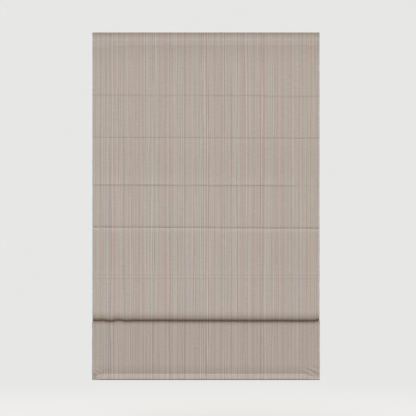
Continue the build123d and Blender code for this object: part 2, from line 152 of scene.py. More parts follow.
def undulation(x, z):
    slow = drift(slow_layer, x * slow_across, z * slow_down)
    quick = drift(quick_layer, x * quick_across, z * quick_down)
    return slack * (slow + quick_share * quick)


print("puckers", len(puckers))

# %% [markdown]
# A crease is where the cloth was pressed to fold forward, and it stands out as a sharp ridge. Creased edges
# under a subdivision surface could make one, but its slopes would be hard to set. A falling square on each
# side gives a sharp crest and a soft shoulder, which is how a pressed line catches the light. Its strength
# changes along the line, as with pressing by hand, and the lowest one was pressed twice.

# %% Pressed creases
crease_stand = (1.35 * MM, 2.35 * MM, 0.75 * MM)
crease_above = (120 * MM, 45 * MM, 24 * MM)
crease_below = 8 * MM
crease_mean, crease_change = 0.75, 0.5
crease_waves, crease_layer = 7.0, 20.0
faint_from, faint_run, faint_share = 0.34, 0.05, 0.15
line_tilt = (-2.0 * MM, -2.6 * MM, -1.2 * MM)
wobble, wobble_waves, wobble_layer = 0.7 * MM, 6.0, 40.0
crease_wobble_share = 0.6
offset_drop, offset_from, offset_run = 3.2 * MM, 0.222, 0.02
second_crease_z = crease_z[2] - 9.5 * MM
second_stand, second_above, second_below = 0.70 * MM, 6 * MM, 14 * MM


def sharp_line(drop, above, below):
    run = above if drop > 0 else below
    return max(0.0, 1.0 - abs(drop) / run) ** 2


@lru_cache(maxsize=None)
def line_wobble(x, number):
    tilt = line_tilt[number] * x / half_width
    return tilt + wobble * drift(wobble_layer + number, x * wobble_waves)


@lru_cache(maxsize=None)
def crease_height(number, x):
    pressed = crease_mean + crease_change * drift(crease_layer + number, x * crease_waves)
    if number == 1 and x > faint_from:
        pressed *= max(faint_share, 1.0 - (x - faint_from) / faint_run)
    return pressed * crease_stand[number]


def creases(x, z):
    """How far the pressed lines bring the cloth forward."""
    forward = 0.0
    for number in range(3):
        line_z = crease_z[number] + line_wobble(x, number) * crease_wobble_share
        if number == 0:
            line_z -= offset_drop * share_of((x - offset_from) / offset_run)
        forward += crease_height(number, x) * sharp_line(z - line_z, crease_above[number], crease_below)
    second_z = second_crease_z + line_wobble(x, 2)
    return forward + second_stand * sharp_line(z - second_z, second_above, second_below)


print("creases stand out", [round(creases(0.0, z), 5) for z in crease_z])

# %% [markdown]
# A stitch line draws the cloth back into a small valley against its rod pocket. It has the same kind of
# shape as a crease, turned round. The pocket itself can't give way, so the cloth for some way above and
# below stands forward by as much, and only the bottom of the valley touches the tape.

# %% Stitch valleys
valley_depth = (1.0 * MM, 2.3 * MM)
valley_above = (6.5 * MM, 10.5 * MM)
valley_below = (45 * MM, 19 * MM)
valley_mean, valley_change = 0.9, 0.35
valley_waves, valley_layer = 9.0, 30.0
tight_from, tight_share = 0.36, 1.4
standing_reach = 0.22


@lru_cache(maxsize=None)
def stitch_valley(number, x):
    drawn = valley_mean + valley_change * drift(valley_layer + number, x * valley_waves)
    if number == 0 and x > tight_from:
        drawn *= tight_share
    return drawn * valley_depth[number]


def standing(drop):
    """How far the cloth stands forward near a stitch line, as a share of its valley."""
    return cos(pi / 2 * min(abs(drop) / standing_reach, 1.0)) ** 2


def valleys(x, z):
    """How far the stitches take the cloth back, less how far it stands forward around them."""
    back = 0.0
    for number in range(2):
        drop = z - stitch_z[number]
        valley = sharp_line(drop, valley_above[number], valley_below[number])
        back += stitch_valley(number, x) * (valley - standing(drop))
    return back


print("valleys", [round(stitch_valley(number, 0.0), 5) for number in range(2)])

# %% [markdown]
# The header lies flat on the tapes and swells a little over the headrail, and its top edge curls forward.
# Below the headrail nothing backs the cloth, so it tucks in and comes out again slowly. Both could be
# sculpted by hand, but as functions of height they add to the waves, creases and valleys, and the sum is the
# whole shape of the hanging cloth.

# %% Header, tuck and the whole hanging cloth
tape_low, tape_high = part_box("loop_tape")
tape_rows = (tape_high.z - 3 * MM, tape_low.z + 2 * MM)
lip_z = tape_high.z - 13.5 * MM
lip_curve, lip_roll = 3.4 * MM, 2.2 * MM
header_swell, swell_run = 0.8 * MM, 12 * MM
tuck_start = rail_foot - 4.5 * MM
tuck_reach, tuck_return, tuck_bend = 0.075, 0.30, 2.2
tuck_mean, tuck_change = 4.1 * MM, 1.4 * MM
tuck_waves, tuck_layer = 4.0, 51.0
left_tuck_drop, left_tuck_from, left_tuck_run = 7 * MM, -0.335, 0.03
slack_run = 0.05


def header_depth(z):
    if z > lip_z:
        share = (z - lip_z) / (cloth_top - lip_z)
        return -lip_curve * share ** 2 - lip_roll * share ** 6
    fade = share_of((z - stitch_z[0]) / (rail_foot - stitch_z[0]))
    return -header_swell * soft_step((lip_z - z) / swell_run) * fade


def tuck_depth(x, z):
    drop = tuck_start - left_tuck_drop * soft_step((left_tuck_from - x) / left_tuck_run) - z
    if drop < 0:
        return 0.0
    strength = tuck_mean + tuck_change * drift(tuck_layer, x * tuck_waves)
    sink = 1 - max(0.0, 1 - drop / tuck_reach) ** tuck_bend
    return strength * sink * share_of(1 - (drop - tuck_reach) / tuck_return)


def hanging_offset(x, z):
    waves = undulation(x, z) * share_of((rail_foot - z) / slack_run)
    flat = header_depth(z) + tuck_depth(x, z) + waves
    return flat - creases(x, z) + valleys(x, z) + pucker_depth(x, z)


print("header lip", round(lip_z, 4), "tuck from", round(tuck_start, 4))

# %% [markdown]
# The side edges of the cloth are turned back in a narrow hem. A separate strip could stand for it, but on
# the real blind it is the same sheet, so the outer columns of the grid go round a small fold and run inwards
# again behind the cloth.

# %% Columns across the cloth
side_hem = 6 * MM
fold_radius = 0.5 * MM
fold_x = half_width - cloth_thickness / 2 - fold_radius
column_count, turn_steps, hem_steps = 236, 6, 4


def cloth_columns():
    """Each column's place across the cloth, and how far it lies behind the face."""
    face = [(fold_x * (2 * step / column_count - 1), 0.0) for step in range(column_count + 1)]
    edge = []
    for step in range(1, turn_steps + 1):
        turn = pi * step / turn_steps
        edge.append((fold_x + fold_radius * sin(turn), fold_radius * (1 - cos(turn))))
    for step in range(1, hem_steps + 1):
        edge.append((fold_x - side_hem * step / hem_steps, 2 * fold_radius))
    return [(-x, back) for x, back in reversed(edge)] + face + edge


print("columns", len(cloth_columns()))

# %% [markdown]
# Each panel is a grid laid along a line that is seen from the side. An even grid would be heavy or coarse,
# so rows crowd together where the cloth bends and spread out where it hangs straight. Solidify then gives
# the sheet its thickness.

# %% Rows and sheets
coarse_row, fine_row = 9 * MM, 1.2 * MM
crowd_reach, crowd_growth = 28 * MM, 1.5


def rows_between(top, foot, lines):
    heights, z = [top], top
    while z > foot:
        near = min([abs(z - line) for line in lines] + [crowd_reach])
        z -= fine_row + (coarse_row - fine_row) * (near / crowd_reach) ** crowd_growth
        heights.append(max(z, foot))
    return heights


def walked(points):
    """How far along a line each of its points is."""
    lengths = [0.0]
    for before, after in zip(points, points[1:]):
        lengths.append(lengths[-1] + hypot(after[0] - before[0], after[1] - before[1]))
    return lengths


def make_piece(name, made, smooth=True):
    for face in made.faces:
        face.smooth = smooth
    piece = bpy.data.objects.new(name, bpy.data.meshes.new(name))
    made.to_mesh(piece.data)
    made.free()
    bpy.context.scene.collection.objects.link(piece)
    return piece


def thicken(sheet, thickness):
    thick = sheet.modifiers.new("thickness", "SOLIDIFY")
    thick.thickness = thickness
    thick.offset = 0.0


# %% [markdown]
# The pattern of a cloth runs on through its folds, so it needs a map of the sheet as it lay before it was
# hung. Blender's own unwrapping would stretch it, and here every point's place on the flat sheet is known:
# how far across and how far down the cloth it is, in metres. The real cloth is one sheet, so each panel's map
# starts about where the one above it ends.

# %% Panels
panel_starts = {"header_panel": 0.0, "upper_panel": 0.43, "lower_panel": 0.80, "bottom_panel": 1.24}
right_edge, left_edge = 60.0, 70.0
long_waves, long_layer = 26.0, 0.0
short_waves, short_layer, short_share = 95.0, 5.0, 0.6
stray_from = 0.9
flare_run = 0.025


def edge_stray(x, z):
    """How far the cloth's side edge strays from straight, for a raggedness of 1."""
    edge = right_edge if x > 0 else left_edge
    stray = drift(long_layer, edge, z * long_waves) + short_share * drift(short_layer, edge, z * short_waves)
    return stray * max(0.0, abs(x) / half_width - stray_from) / (1 - stray_from)


def lay_panel(name, line, shape, flare=0.0, ragged=0.5 * MM):
    """A grid with one row for each point of line, given as (y, z), and shape(x, y, z) to move each point.
    flare is the share by which the panel spreads below its sewn top, and ragged how far its sides stray."""
    columns = cloth_columns()
    last_column, last_row = len(columns) - 1, len(line) - 1
    grid = bmesh.new()
    bmesh.ops.create_grid(grid, x_segments=last_column, y_segments=last_row, size=1.0)
    cloth_map = grid.loops.layers.uv.new("cloth")
    lengths, widths = walked(line), walked(columns)
    place = {}
    for vertex in grid.verts:
        column = round((vertex.co.x + 1) / 2 * last_column)
        row = round((1 - vertex.co.y) / 2 * last_row)
        place[vertex] = (widths[column] - widths[-1] / 2, panel_starts[name] + lengths[row])
        x, back = columns[column]
        y, z = line[row]
        before, after = line[max(row - 1, 0)], line[min(row + 1, last_row)]
        run = Vector((after[0] - before[0], after[1] - before[1])).normalized()
        spread = 1 + flare * soft_step((line[0][1] - z) / flare_run)
        moved_x = x * spread + ragged * edge_stray(x, z)
        moved_y, moved_z = shape(x, y, z)
        vertex.co = Vector((moved_x, moved_y - run.y * back, moved_z + run.x * back))
    for face in grid.faces:
        for loop in face.loops:
            loop[cloth_map].uv = place[loop.vert]
    panel = make_piece(name, grid)
    thicken(panel, cloth_thickness)
    panel["cut_length"] = lengths[-1]
    print(name, len(panel.data.polygons), "faces, length", round(lengths[-1], 4))
    return panel


# %% [markdown]
# The header panel runs from the headrail to the first stitch line, and the upper panel from there to the
# second. They are separate pieces, each spanning between its own two bodies. The sewn edge wanders a little,
# so both panels that share it follow the same wobble.

# %% Header and upper panels
sewn_reach = 0.03


def sewn_shift(x, z):
    shift = 0.0
    for number in (0, 1):
        shift += line_wobble(x, number) * exp(-(((z - stitch_z[number]) / sewn_reach) ** 2))
    return shift


def hang(x, y, z):
    return front_y + hanging_offset(x, z), z + sewn_shift(x, z)


bends = crease_z + stitch_z[:2] + [rail_foot, second_crease_z, *tape_rows]
header_rows = rows_between(cloth_top, stitch_z[0], bends)
header_panel = lay_panel("header_panel", [(front_y, z) for z in header_rows], hang)
upper_rows = rows_between(stitch_z[0], stitch_z[1], bends)
upper_panel = lay_panel("upper_panel", [(front_y, z) for z in upper_rows], hang)

# %% [markdown]
# The lower panel droops over the third rod, the one soft fold that shows on a lowered blind. A simulation
# could let it fall, but its place and depth are known, so its side view is drawn: three arcs that grow
# tighter leave the hanging plane, a round one turns the cloth back, and it goes up behind to the line where
# it is sewn.

# %% Side view of the droop
loop_turn = 0.6 * MM
droop_foot_z = flange_z[2] - 13 * MM
loop_back_y = back_y - 2 * loop_turn
# Each arc of the front: its radius and its slope at the end
front_arcs = ((85 * MM, radians(9.5)), (48 * MM, radians(30)), (14 * MM, radians(75)))
arc_steps, climb_steps = 12, 4
room, fall, slope = loop_back_y - front_y, 0.0, 0.0
for radius, end in front_arcs:
    room -= radius * (cos(slope) - cos(end))
    fall += radius * (sin(end) - sin(slope))
    slope = end
back_radius = room / (1 + cos(slope))
belly_z = droop_foot_z + fall + back_radius * (1 - sin(slope))


def steps(count):
    return [step / count for step in range(1, count + 1)]


def arc(centre_y, centre_z, radius, start, sweep, count):
    angles = [start + sweep * share for share in steps(count)]
    return [(centre_y + radius * cos(angle), centre_z + radius * sin(angle)) for angle in angles]


def carry_on(line, radius, start, end, count):
    """Adds an arc that goes on from the end of line without a corner."""
    last_y, last_z = line[-1]
    centre_y = last_y - radius * cos(pi + start)
    centre_z = last_z - radius * sin(pi + start)
    line += arc(centre_y, centre_z, radius, pi + start, end - start, count)


lower_line = [(front_y, z) for z in rows_between(stitch_z[1], belly_z, bends)]
slope = 0.0
for radius, end in front_arcs + ((back_radius, pi),):
    carry_on(lower_line, radius, slope, end, arc_steps)
    slope = end
loop_z = lower_line[-1][1]
lower_line += [(loop_back_y, between(loop_z, stitch_z[2], share)) for share in steps(climb_steps)]
lower_line += arc(loop_back_y + loop_turn, stitch_z[2], loop_turn, pi, -pi, turn_steps)
print("droop from", round(belly_z, 4), "to", round(loop_z - back_radius, 4))

# %% [markdown]
# Along its length the fold isn't even. Its lower edge waves slightly, ripples near the left end and lifts at
# both ends, where the side hems stiffen it. These moves fade out above the fold and towards the sewn line.

# %% Lower panel
into_run, sag_run = 40 * MM, 20 * MM
edge_wave, edge_waves, edge_layer = 0.8 * MM, 8.0, 80.0
ripple_height, ripple_x, ripple_reach, ripple_length = 2.6 * MM, -0.37, 0.06, 0.07
right_lift, right_lift_from, right_lift_run = 3.4 * MM, 0.438, 0.014
left_lift, left_lift_from, left_lift_run = 1.6 * MM, -0.436, 0.016
edge_tilt = 1.0 * MM
sewn_fade = 4


def edge_shift(x):
    """How far the fold's lower edge is above a level line."""
    wave = edge_wave * drift(edge_layer, x * edge_waves)
    patch = exp(-(((x - ripple_x) / ripple_reach) ** 2))
    ripple = ripple_height * patch * sin(2 * pi * (x - ripple_x) / ripple_length)
    right = right_lift * soft_step((x - right_lift_from) / right_lift_run)
    left = left_lift * soft_step((left_lift_from - x) / left_lift_run)
    return wave + ripple + right + left - edge_tilt * x / half_width


def droop(x, y, z):
    if z > belly_z + into_run:
        return hang(x, y, z)
    into = share_of((belly_z + into_run - z) / into_run)
    sag = share_of((belly_z - z) / sag_run)
    sewn = share_of((y - front_y) / (loop_back_y - front_y))
    flat = hanging_offset(x, z)
    return y + flat * (1 - into), z + edge_shift(x) * sag * (1 - sewn ** sewn_fade)


lower_panel = lay_panel("lower_panel", lower_line, droop)

# %% [markdown]
# The bottom panel hangs from the third stitch line to the hem, where a flat bar weighs it down. Its side view
# is drawn like the droop's: the cloth comes forward a little, a row of stitches draws it in above the bar, it
# swells over the bar, turns under it and goes up behind to the same stitches.

# %% Side view of the bottom panel
bar_low, bar_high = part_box("bottom_bar")
bar_y = (bar_low.y + bar_high.y) / 2
bar_end = (bar_high.y - bar_low.y) / 2
hem_turn = bar_end + 0.3 * MM + cloth_thickness / 2
hem_stitch_z = cloth_foot + 23.5 * MM
hem_foot_z = cloth_foot - 0.4 * MM
hem_turn_z = hem_foot_z + hem_turn
hem_back_y = bar_y + hem_turn
shoulder_z = bar_high.z - bar_end
valley_y = back_y + 0.5 * MM
hem_end_y = valley_y + cloth_thickness + seat_gap
swing_y, swing_z = back_y - 3.8 * MM, hem_stitch_z + 40 * MM
brow_y, brow_z = back_y - 8.0 * MM, cloth_foot + 5.0 * MM
chin_y = back_y - 0.4 * MM
sewn_bend_z = stitch_z[2] - 40 * MM
brow_bend = 0.9
sweep_steps, brow_steps, round_steps, foot_steps = 16, 14, 8, 3

bottom_line = []
for z in rows_between(stitch_z[2], swing_z, [sewn_bend_z, hem_stitch_z]):
    bottom_line.append((between(back_y, swing_y, (stitch_z[2] - z) / (stitch_z[2] - swing_z)), z))
for share in steps(sweep_steps):
    bottom_line.append((between(swing_y, valley_y, share ** 2), between(swing_z, hem_stitch_z, share)))
for share in steps(brow_steps):
    bottom_line.append((between(valley_y, brow_y, share ** brow_bend), between(hem_stitch_z, brow_z, share)))
for share in steps(round_steps):
    turn = pi / 2 * share
    bottom_line.append((between(chin_y, brow_y, cos(turn)), between(brow_z, hem_foot_z, sin(turn))))
for share in steps(foot_steps):
    bottom_line.append((between(chin_y, bar_y, share), hem_foot_z))
bottom_line += arc(bar_y, hem_turn_z, hem_turn, pi * 1.5, pi / 2, round_steps)
for share in steps(round_steps):
    bottom_line.append((hem_back_y, between(hem_turn_z, shoulder_z, share)))
for share in steps(round_steps):
    back_up = between(hem_back_y, hem_end_y, soft_step(share))
    bottom_line.append((back_up, between(shoulder_z, hem_stitch_z, share)))
print("bottom panel", len(bottom_line), "rows, hem foot", round(hem_foot_z, 4))

# %% [markdown]
# Towards the ends the hem has slipped down the bar, and at the left corner, past the end of the bar, the
# cloth hangs slack. Such handling can't be simulated from nothing, so each is a soft step along the hem.
# Wherever the bar is inside, the cloth is kept in front of it.

# %% Bottom panel
calm_top, calm_hem, bottom_slack = 0.03, 0.05, 1.2
behind = 0.5 * MM
# Each slip: how far out it starts, the length over which it grows, and its depth
right_slip = (0.385, 0.070, 12 * MM)
left_slip = (0.405, 0.045, 8 * MM)
slip_rise, slip_forward = 0.06, 3.4 * MM
flat_share, flat_gap, flat_from, flat_run = 0.55, 1 * MM, -0.408, 0.036
corner_lean, corner_rise = 6.0 * MM, 30 * MM
corner_from, corner_run = -0.434, 0.010
bar_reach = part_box("bar_tip_right")[1].x + cloth_thickness


def bar_face(z):
    """The front of the round-edged bar at a height, or a place behind the cloth where there is no bar."""
    beyond = max(0.0, z - shoulder_z, bar_low.z + bar_end - z)
    return bar_y - (bar_end ** 2 - beyond ** 2) ** 0.5 if beyond < bar_end else hem_back_y


def hem_slip(x, z):
    """How far the hem has slipped at a place, as a share of that end's depth, and the depth."""
    start, run, depth = right_slip if x > 0 else left_slip
    near = 1 - (z - hem_stitch_z) / slip_rise
    if z < hem_stitch_z:
        near = (z - hem_foot_z) / (hem_stitch_z - hem_foot_z)
    return max(0.0, near) * soft_step((abs(x) - start) / run), depth


def bottom_hang(x, y, z):
    free = share_of((stitch_z[2] - z) / calm_top) * share_of((z - hem_stitch_z) / calm_hem)
    moved_y = y + undulation(x, z) * free * bottom_slack
    if y > valley_y + behind:
        return moved_y, z
    slip, depth = hem_slip(x, z)
    if z < hem_stitch_z and y < bar_low.y:
        flattened = flat_share * soft_step((flat_from - x) / flat_run)
        moved_y += flattened * (bar_low.y - flat_gap - y)
    moved_y -= slip_forward * slip
    moved_z = z - depth * slip
    height = moved_z - hem_foot_z
    slack_y = chin_y - corner_lean * min(1.0, height / corner_rise)
    corner = soft_step((corner_from - x) / corner_run) * soft_step(2 - height / corner_rise)
    moved_y += (slack_y - moved_y) * corner + pucker_depth(x, z)
    if abs(x) < bar_reach:
        moved_y = min(moved_y, bar_face(moved_z) - cloth_thickness / 2 - seat_gap)
    return moved_y, moved_z


bottom_panel = lay_panel("bottom_panel", bottom_line, bottom_hang, flare=0.0055, ragged=1.2 * MM)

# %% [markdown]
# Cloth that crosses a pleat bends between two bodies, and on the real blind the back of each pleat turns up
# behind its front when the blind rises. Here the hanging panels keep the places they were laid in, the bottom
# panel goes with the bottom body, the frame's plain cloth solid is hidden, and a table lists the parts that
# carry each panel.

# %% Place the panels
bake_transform(header_panel)
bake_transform(upper_panel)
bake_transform(lower_panel)
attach(bottom_panel, "bottom")
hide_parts("shade_fabric")
carried = {
    header_panel: ["loop_tape"],
    upper_panel: ["rod_1"],
    lower_panel: ["rod_2", "rod_3"],
    bottom_panel: ["rod_3", "bottom_bar"],
}

# %% [markdown]
# A material is a small network of nodes. It could be wired by hand in the editor, but these helpers add a
# node with its settings and wire it up, so that each finish below reads as a list of what it is made of.

# %% Helpers for finishes
def start_finish(name):
    material = bpy.data.materials.new(name)
    material.use_nodes = True
    return material, material.node_tree, material.node_tree.nodes["Principled BSDF"]


def add(tree, kind, **settings):
    made = tree.nodes.new(kind)
    for key, value in settings.items():
        if hasattr(made, key):
            setattr(made, key, value)
        else:
            made.inputs[key.replace("_", " ")].default_value = value
    return made


def feed(tree, value, socket):
    """Links another node's socket, or sets a plain value."""
    if isinstance(value, bpy.types.NodeSocket):
        tree.links.new(value, socket)
    else:
        socket.default_value = value


def stretched(tree, source, scale):
    mapping = add(tree, "ShaderNodeMapping", Scale=scale)
    tree.links.new(source, mapping.inputs["Vector"])
    return mapping.outputs["Vector"]


def speckle(tree, source, scale, detail=2.0):
    made = add(tree, "ShaderNodeTexNoise", noise_dimensions="3D", Scale=1.0, Detail=detail, Roughness=0.6)
    tree.links.new(stretched(tree, source, scale), made.inputs["Vector"])
    return made.outputs["Fac"]


def ramp(tree, source, low, high, dark, light):
    made = add(tree, "ShaderNodeMapRange", From_Min=low, From_Max=high, To_Min=dark, To_Max=light)
    tree.links.new(source, made.inputs["Value"])
    return made.outputs["Result"]


def sums(tree, operation, first, second):
    made = add(tree, "ShaderNodeMath", operation=operation)
    feed(tree, first, made.inputs[0])
    feed(tree, second, made.inputs[1])
    return made.outputs[0]


def blend_colours(tree, share, first, second, kind="MIX"):
    made = add(tree, "ShaderNodeMix", data_type="RGBA", blend_type=kind)
    for value, socket in ((share, made.inputs[0]), (first, made.inputs[6]), (second, made.inputs[7])):
        feed(tree, value, socket)
    return made.outputs[2]


def lit(tree, colour, light):
    """A colour made lighter or darker by a number."""
    shade = add(tree, "ShaderNodeCombineColor")
    for socket in shade.inputs:
        tree.links.new(light, socket)
    return blend_colours(tree, 1.0, colour, shade.outputs[0], "MULTIPLY")


def add_bump(tree, shader, height, strength, distance):
    made = add(tree, "ShaderNodeBump", Strength=strength, Distance=distance)
    tree.links.new(height, made.inputs["Height"])
    tree.links.new(made.outputs["Normal"], shader.inputs["Normal"])


# %% [markdown]
# The cloth is a plain weave whose upright slubs vary in thickness and tone: a few millimetres wide, taupe and
# greyer by turns, with a darker one here and there. They run the full drop and straight through every fold,
# so they follow the cloth's own map of itself and not its place in space. Each slub draws its tone by lot and
# is set off against its neighbours, because soft noise would smear them into broad bands. Near to, the single
# threads show, crossing over and under, from two noises that are drawn out long each way.

# %% Slubs
slub_pitch = 4 * MM
slub_drift = 2.2
drift_scale = (55, 1.3, 1)
neighbour_share = 0.4
lot_start, dark_lot = 600.5, 900.0


def lot(tree, number, shift):
    """A tone drawn by lot for each slub, the same all along it."""
    made = add(tree, "ShaderNodeTexWhiteNoise", noise_dimensions="1D")
    tree.links.new(sums(tree, "ADD", number, lot_start + shift), made.inputs["W"])
    return made.outputs["Value"]


def slub_tones(tree, cloth_map):
    """Each slub's own tone against its neighbours, and the lot that makes some of them dark."""
    wander = ramp(tree, speckle(tree, cloth_map, drift_scale), 0.0, 1.0, -slub_drift, slub_drift)
    across = add(tree, "ShaderNodeSeparateXYZ")
    tree.links.new(cloth_map, across.inputs[0])
    place = sums(tree, "ADD", sums(tree, "MULTIPLY", across.outputs["X"], 1 / slub_pitch), wander)
    slub = sums(tree, "FLOOR", place, 0.0)
    beside = sums(tree, "ADD", lot(tree, slub, -1.0), lot(tree, slub, 1.0))
    tones = sums(tree, "SUBTRACT", lot(tree, slub, 0.0), sums(tree, "MULTIPLY", beside, neighbour_share))
    return tones, lot(tree, slub, dark_lot)


# %% [markdown]
# The bottom panel has a finish of its own, made by the same function, with colours a little deeper and more
# even than the rest. The deeper colour is painted shade: it stands for the dimmer light on a panel that hangs
# further back beneath the fold. Sheen gives both the soft glow that fibres have at a slant.

# %% Cloth finish
thread_scale, group_scale, weft_scale = (760, 5, 1), (70, 0.5, 1), (34, 170, 1)
upright_scale, level_scale = (1500, 130, 1), (130, 1300, 1)
# Each range: the least and most that a pattern gives, and what they become
group_range = (0.36, 0.64, 0.0, 1.0)
thread_light = (0.25, 0.75, 0.95, 1.05)
dark_light = (0.88, 0.94, 1.0, 0.92)
weft_light = (0.25, 0.75, 0.965, 1.035)
crossing_light = (0.37, 0.75, 0.921, 1.081)
thread_rough = (0.3, 0.7, 0.86, 0.74)
slub_least, slub_most = -0.8, 1.0
crossing_bump = 1.6
cloth_bump, cloth_bump_depth = 0.25, 0.25 * MM
cloth_gloss, cloth_sheen, cloth_sheen_rough = 0.12, 0.12, 0.45


def make_cloth(name, taupe, grey, contrast):
    material, tree, shader = start_finish(name)
    cloth_map = add(tree, "ShaderNodeUVMap", uv_map="cloth").outputs["UV"]
    slubs, dark = slub_tones(tree, cloth_map)
    threads = speckle(tree, cloth_map, thread_scale, 1.0)
    groups = speckle(tree, cloth_map, group_scale)
    weft = speckle(tree, cloth_map, weft_scale, 1.0)
    upright = speckle(tree, cloth_map, upright_scale, 0.0)
    crossing = sums(tree, "MAXIMUM", upright, speckle(tree, cloth_map, level_scale, 0.0))
    light = ramp(tree, slubs, slub_least, slub_most, 1 - contrast, 1 + contrast)
    patterns = ((threads, thread_light), (dark, dark_light), (weft, weft_light), (crossing, crossing_light))
    for pattern, limits in patterns:
        light = sums(tree, "MULTIPLY", light, ramp(tree, pattern, *limits))
    tone = blend_colours(tree, ramp(tree, groups, *group_range), taupe, grey)
    tree.links.new(lit(tree, tone, light), shader.inputs["Base Color"])
    tree.links.new(ramp(tree, threads, *thread_rough), shader.inputs["Roughness"])
    shader.inputs["Specular IOR Level"].default_value = cloth_gloss
    shader.inputs["Sheen Weight"].default_value = cloth_sheen
    shader.inputs["Sheen Roughness"].default_value = cloth_sheen_rough
    raised = sums(tree, "MULTIPLY", crossing, crossing_bump)
    weave = sums(tree, "ADD", sums(tree, "ADD", threads, weft), raised)
    add_bump(tree, shader, sums(tree, "ADD", slubs, weave), cloth_bump, cloth_bump_depth)
    return material


hanging_cloth = make_cloth(
    "slub_weave", taupe=(0.4605, 0.3800, 0.3375, 1), grey=(0.4550, 0.4135, 0.3650, 1), contrast=0.217)
# The bottom panel's copy of the cloth has darker colours as painted shade, for the panel that hangs back
# beneath the fold.
bottom_cloth_painted_shade = make_cloth(
    "slub_weave_painted_shade", taupe=(0.4205, 0.3485, 0.3070, 1), grey=(0.4165, 0.3618, 0.3190, 1), contrast=0.250)
for panel in carried:
    panel.data.materials.append(bottom_cloth_painted_shade if panel is bottom_panel else hanging_cloth)
print("cloth finishes", hanging_cloth.name, "and", bottom_cloth_painted_shade.name)

# %% [markdown]
# A rod pocket is a narrow woven tape folded round its rod and sewn through the cloth, with its two edges
# together as a flange under the stitches. A tube would do for the round part, but not for the flange, so the
# tape is a strip laid along its own side view, with a slight nap in its surface.

# %% Tape strips
tape_thickness = 0.5 * MM
nap_across, nap_deep, nap_down = 60.0, 300.0, 200.0


def tape_strip(name, node, body, line, half_length, columns, thickness, nap):
    """A strip of tape that stands for a node, one row for each point of line, given as (y, z)."""
    last_row = len(line) - 1
    grid = bmesh.new()
    bmesh.ops.create_grid(grid, x_segments=columns, y_segments=last_row, size=1.0)
    for vertex in grid.verts:
        y, z = line[round((1 - vertex.co.y) / 2 * last_row)]
        x = vertex.co.x * half_length
        stir = nap * noise.noise(Vector((x * nap_across, y * nap_deep, z * nap_down)))
        vertex.co = Vector((x, y + stir, z))
    strip = make_piece(name, grid)
    thicken(strip, thickness)
    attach(strip, body)
    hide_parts(node)
    return strip


# %% [markdown]
# Seen from the side, the tape comes down the flange, goes most of the way round the rod and climbs again
# behind itself. The rods and pockets of the frame give every place, so one loop makes all three.

# %% Rod pocket tapes
rod_bodies = {1: "upper_rod", 2: "middle_rod", 3: "bottom"}
pocket_columns, pocket_nap = 120, 0.06 * MM
ring_sweep, ring_steps = radians(318), 30
front_steps, rear_steps, rear_start = 5, 4, 0.95
pocket_strips = []
for number, body in rod_bodies.items():
    low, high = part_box(f"rod_pocket_{number}")
    rod_low, rod_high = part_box(f"rod_{number}")
    rod_y, rod_z = (rod_low.y + rod_high.y) / 2, (rod_low.z + rod_high.z) / 2
    ring = rod_y - low.y - tape_thickness / 2
    flange_front = low.y + tape_thickness / 2
    flange_back = flange_front + tape_thickness
    rear_z = rod_z + ring * rear_start
    fold = [(flange_front, between(high.z, rod_z, share)) for share in [0.0] + steps(front_steps)]
    fold += arc(rod_y, rod_z, ring, pi, ring_sweep, ring_steps)
    fold += [(flange_back, between(rear_z, high.z, share)) for share in [0.0] + steps(rear_steps)]
    pocket_strips.append(tape_strip(
        f"pocket_tape_{number}", f"rod_pocket_{number}", body,
        fold, high.x, pocket_columns, tape_thickness, pocket_nap))

# %% [markdown]
# The cloth hangs on the headrail by two tapes pressed together: hook tape on the metal and loop tape sewn to
# the cloth. Thousands of modelled hooks would be far too heavy, so each is a strip with a little nap, and its
# finish gives it the grain.

# %% Hook and loop tapes
fastener_columns, fastener_steps, fastener_nap = 220, 12, 0.05 * MM
nap_room = 0.12 * MM
fastener_strips = {}
for name in ("hook_tape", "loop_tape"):
    low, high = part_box(name)
    middle_y = (low.y + high.y) / 2
    line = [(middle_y, between(high.z, low.z, share)) for share in [0.0] + steps(fastener_steps)]
    fastener_strips[name] = tape_strip(
        f"{name}_strip", name, "head",
        line, high.x, fastener_columns, high.y - low.y - nap_room, fastener_nap)

# %% [markdown]
# Tape is woven much finer than the cloth and is pale. Hook tape shows rows of tiny hooks and loop tape a
# fuzzy nap, so each gets its own grain. So fine a grain has no run to follow and needs no map of the tape, so
# all of it reads Object coordinates.

# %% Tape finishes
tape_light, broad_light = (0.3, 0.7, 0.90, 1.08), (0.3, 0.7, 0.97, 1.03)
tape_rough = (0.3, 0.7, 0.92, 0.78)
tape_broad = (40, 40, 40)
tape_bump_depth = 0.2 * MM


def make_tape(name, colour, grain, strength, sheen):
    material, tree, shader = start_finish(name)
    here = add(tree, "ShaderNodeTexCoord").outputs["Object"]
    weave = speckle(tree, here, grain)
    broad = speckle(tree, here, tape_broad)
    light = sums(tree, "MULTIPLY", ramp(tree, weave, *tape_light), ramp(tree, broad, *broad_light))
    tree.links.new(lit(tree, colour, light), shader.inputs["Base Color"])
    tree.links.new(ramp(tree, weave, *tape_rough), shader.inputs["Roughness"])
    shader.inputs["Sheen Weight"].default_value = sheen
    add_bump(tree, shader, weave, strength, tape_bump_depth)
    return material


pocket_tape = make_tape("pocket_tape_weave", (0.60, 0.56, 0.50, 1), (420, 900, 900), 0.35, 0.08)
hook_tape = make_tape("hook_tape_grain", (0.66, 0.65, 0.62, 1), (900, 400, 900), 0.6, 0.02)
loop_tape = make_tape("loop_tape_nap", (0.68, 0.66, 0.62, 1), (1100, 700, 1100), 0.7, 0.25)
for strip in pocket_strips:
    strip.data.materials.append(pocket_tape)
fastener_strips["hook_tape"].data.materials.append(hook_tape)
fastener_strips["loop_tape"].data.materials.append(loop_tape)
print("tape finishes", pocket_tape.name, hook_tape.name, loop_tape.name)

